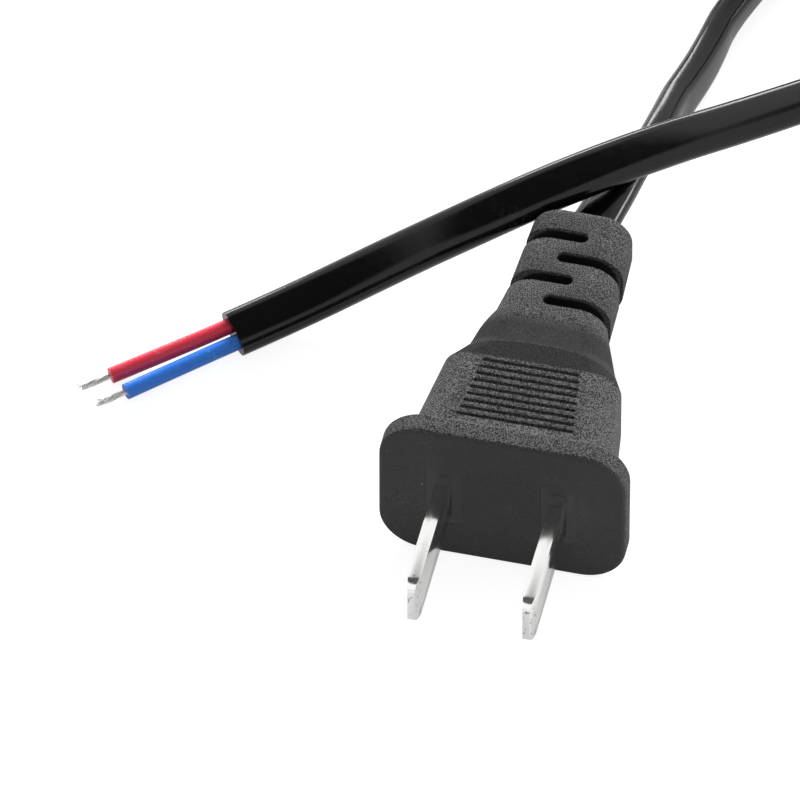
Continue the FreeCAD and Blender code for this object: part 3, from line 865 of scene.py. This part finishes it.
def softenedCopy(nodeName, name, slot, edge, angle):
    # the node's triangles merged into a shell, flat faces made whole, then its edges rounded
    piece = bpy.data.objects.new(name, nodes[nodeName].data.copy())
    bpy.context.scene.collection.objects.link(piece)
    makeActive(piece)
    bpy.ops.object.mode_set(mode="EDIT")
    bpy.ops.mesh.select_all(action="SELECT")
    bpy.ops.mesh.remove_doubles(threshold=plug["mergeDistance"])
    bpy.ops.mesh.customdata_custom_splitnormals_clear()
    bpy.ops.mesh.dissolve_limited(angle_limit=math.radians(plug["flatAngle"]))
    bpy.ops.object.mode_set(mode="OBJECT")
    bevel = piece.modifiers.new("edges", "BEVEL")
    bevel.width = edge
    bevel.segments = plug["edgeSegments"]
    bevel.limit_method = "ANGLE"
    bevel.angle_limit = math.radians(angle)
    bevel.use_clamp_overlap = True
    applyModifiers(piece)
    smoothByAngle(piece, 40)
    return namePiece(piece, name, slot, nodeName)


def leanRelief(piece):
    # the strain relief leans a little to the right, and the neck's left side is a little fuller
    for vertex in piece.data.vertices:
        away = (vertex.co.y - plug["fullPlace"]) / plug["fullRun"]
        leftwards = min(max(-vertex.co.x / plug["neckHalf"], 0), 1)
        vertex.co.x -= plug["fullness"] * math.exp(-away ** 2) * leftwards
        ahead = (vertex.co.y - plug["leanStart"]) / plug["leanRun"]
        ahead = min(max(ahead, 0), 1)
        across = 0.5 + vertex.co.x / plug["reliefWidth"]
        vertex.co.x += plug["lean"] * ahead * ahead * (3 - 2 * ahead) * across


bodyPiece = softenedCopy(
    "moulded_body", "mouldedBody", "body_pvc", plug["bodyEdge"], plug["bodyAngle"]
)
holderPiece = softenedCopy("blade_holder", "bladeHolder", "holder_plastic", plug["holderEdge"], 40)
bladePieces = [
    softenedCopy(f"blade_{side}", f"blade{side.title()}", "blade_plating", plug["bladeEdge"], 30)
    for side in ("left", "right")
]
leanRelief(bodyPiece)
print("plug softened:", len(bodyPiece.data.polygons), "faces on the body")


# tie: a thin band round the wound turns, with its two ends twisted together on top

tie = {
    "turn": 62.0,
    "middleRadius": 29.9 * mm,
    "inside": (13.9 * mm, 11.1 * mm),
    "bottom": 0.55 * mm,
    "width": 4.0 * mm,
    "wall": 0.5 * mm,
    "corner": 1.3 * mm,
    "ribDepth": 0.12 * mm,
    "tailLength": 11.0 * mm,
    "tailSection": (1.3 * mm, 0.6 * mm),
    "tailTwist": 900.0,
    "tailSteps": 48,
}


def makeBand():
    deselectAll()
    bpy.ops.mesh.primitive_cube_add(size=1)
    band = bpy.context.object
    band.scale = (tie["inside"][0], tie["width"], tie["inside"][1])
    bakePlace(band)
    bpy.ops.object.mode_set(mode="EDIT")
    shape = bmesh.from_edit_mesh(band.data)
    for face in shape.faces:
        face.select_set(abs(face.normal.y) > 0.9)
    bpy.ops.mesh.delete(type="ONLY_FACE")
    for edge in shape.edges:
        edge.select_set(abs((edge.verts[0].co - edge.verts[1].co).y) > tie["width"] / 2)
    bmesh.update_edit_mesh(band.data)
    bpy.ops.mesh.bevel(offset=tie["corner"], segments=6)
    bpy.ops.object.mode_set(mode="OBJECT")
    wall = band.modifiers.new("wall", "SOLIDIFY")
    wall.thickness = tie["wall"]
    wall.offset = 1
    edges = band.modifiers.new("edges", "BEVEL")
    edges.width = tie["ribDepth"]
    edges.segments = 2
    applyModifiers(band)
    band.location.z = tie["bottom"] + tie["inside"][1] / 2
    return band


def makeTail(shift):
    deselectAll()
    bpy.ops.mesh.primitive_cube_add(size=1)
    tail = bpy.context.object
    tail.scale = (tie["tailSection"][0], tie["tailLength"], tie["tailSection"][1])
    tail.location = (0, 0, shift)
    bakePlace(tail)
    bpy.ops.object.mode_set(mode="EDIT")
    shape = bmesh.from_edit_mesh(tail.data)
    for edge in shape.edges:
        edge.select_set(abs((edge.verts[0].co - edge.verts[1].co).y) > tie["tailLength"] / 2)
    bmesh.update_edit_mesh(tail.data)
    bpy.ops.mesh.subdivide(number_cuts=tie["tailSteps"])
    bpy.ops.object.mode_set(mode="OBJECT")
    twist = tail.modifiers.new("twist", "SIMPLE_DEFORM")
    twist.deform_method = "TWIST"
    twist.deform_axis = "Y"
    twist.angle = math.radians(tie["tailTwist"])
    applyModifiers(tail)
    tail.location.z = tie["bottom"] + tie["inside"][1] + tie["wall"] + tie["tailSection"][0] / 2
    return tail


def makeTie():
    half = tie["tailSection"][1] / 2
    parts = [makeTail(half), makeTail(-half), makeBand()]
    deselectAll()
    for part in parts:
        part.select_set(True)
    view.objects.active = parts[-1]
    bpy.ops.object.transform_apply(location=True, rotation=True, scale=True)
    bpy.ops.object.join()
    piece = bpy.context.object
    turn = math.radians(tie["turn"])
    outward = Vector((math.cos(turn), math.sin(turn), 0))
    piece.rotation_euler = (0, 0, turn)
    piece.location = cord["coilMiddle"] + outward * tie["middleRadius"]
    bakePlace(piece)
    smoothByAngle(piece, 40)
    return namePiece(piece, "coilTie", "tie_plastic", "coil_tie")


tiePiece = makeTie()
print("tie made")


# finishes of the CAD nodes that stay as they are

nodeSlots = {
    "conductor_red": "tinned_wire",
    "conductor_blue": "tinned_wire",
    "core_red": "red_insulation",
    "core_blue": "blue_insulation",
    "jacket_end": "cord_jacket",
}
for nodeName, slot in nodeSlots.items():
    for place in nodes[nodeName].material_slots:
        place.material = finishes[slot]


# stage

stage = {
    "floorRadius": 6.0,
    "floorColour": (0.55, 0.55, 0.55, 1),
    "floorSeen": 0.84,
    "floorMirrored": 0.42,
    "skyLight": 0.32,
    "skySeen": 1.0,
    "zenithMirrored": 0.10,
    "zenithStart": 0.74,  # sine of the height over the horizon
    "zenithFull": 0.86,
}

# name, place, size, watts, and whether gloss shows the lamp
lamps = [
    ("keyLamp", (-0.06, 0.94, 0.56), (0.8, 0.34), 13.6, False),
    ("rimLamp", (-0.32, 1.0, 0.16), (0.5, 0.20), 2.4, True),
    ("sideLamp", (1.05, 0.36, 0.13), (0.6, 0.22), 4.5, True),
]


def makeStage():
    deselectAll()
    bpy.ops.mesh.primitive_circle_add(
        vertices=96, radius=stage["floorRadius"], fill_type="NGON"
    )
    floor = bpy.context.object
    floor.name = "floor"
    material, tree, surface = newMaterial("paleFloor", Specular_IOR_Level=0.0, Roughness=0.9)
    surface.inputs["Base Color"].default_value = stage["floorColour"]
    path = addNode(tree, "LightPath")
    seen = addNode(
        tree,
        "Math",
        {0: path.outputs["Is Camera Ray"], 1: stage["floorSeen"]},
        operation="MULTIPLY",
    )
    strength = addNode(
        tree,
        "Math",
        {0: path.outputs["Is Glossy Ray"], 1: stage["floorMirrored"], 2: seen.outputs[0]},
        operation="MULTIPLY_ADD",
    )
    glow = addNode(tree, "Emission", {"Strength": strength.outputs[0]})
    both = addNode(tree, "AddShader", {0: surface.outputs[0], 1: glow.outputs[0]})
    tree.links.new(both.outputs[0], tree.nodes["Material Output"].inputs["Surface"])
    floor.data.materials.append(material)


def makeWorld():
    # white to the camera, white but for a dim zenith to mirror-like surfaces, soft fill to the rest
    world = bpy.data.worlds.new("softStudio")
    world.use_nodes = True
    bpy.context.scene.world = world
    tree = world.node_tree
    path = addNode(tree, "LightPath")
    towards = addNode(tree, "TexCoord")
    height = addNode(tree, "SeparateXYZ", {0: towards.outputs["Generated"]}).outputs["Z"]
    mirrored = mapValue(
        tree,
        height,
        stage["skySeen"],
        stage["zenithMirrored"],
        stage["zenithStart"],
        stage["zenithFull"],
    )
    unseen = addNode(
        tree,
        "Mix",
        {0: path.outputs["Is Glossy Ray"], 2: stage["skyLight"], 3: mirrored},
        data_type="FLOAT",
    )
    strength = addNode(
        tree,
        "Mix",
        {0: path.outputs["Is Camera Ray"], 2: unseen.outputs[0], 3: stage["skySeen"]},
        data_type="FLOAT",
    )
    sky = tree.nodes["Background"]
    sky.inputs["Color"].default_value = (1, 1, 1, 1)
    tree.links.new(strength.outputs[0], sky.inputs["Strength"])


def makeLamp(name, place, size, watts, mirrored):
    data = bpy.data.lights.new(name, "AREA")
    data.shape = "RECTANGLE"
    data.size, data.size_y = size
    data.energy = watts
    lamp = bpy.data.objects.new(name, data)
    lamp.location = place
    lamp.rotation_euler = (-Vector(place)).to_track_quat("-Z", "Y").to_euler()
    lamp.visible_glossy = mirrored
    bpy.context.scene.collection.objects.link(lamp)


makeStage()
makeWorld()
for lamp in lamps:
    makeLamp(*lamp)
bpy.context.scene.view_settings.view_transform = "Standard"
print("stage lit")
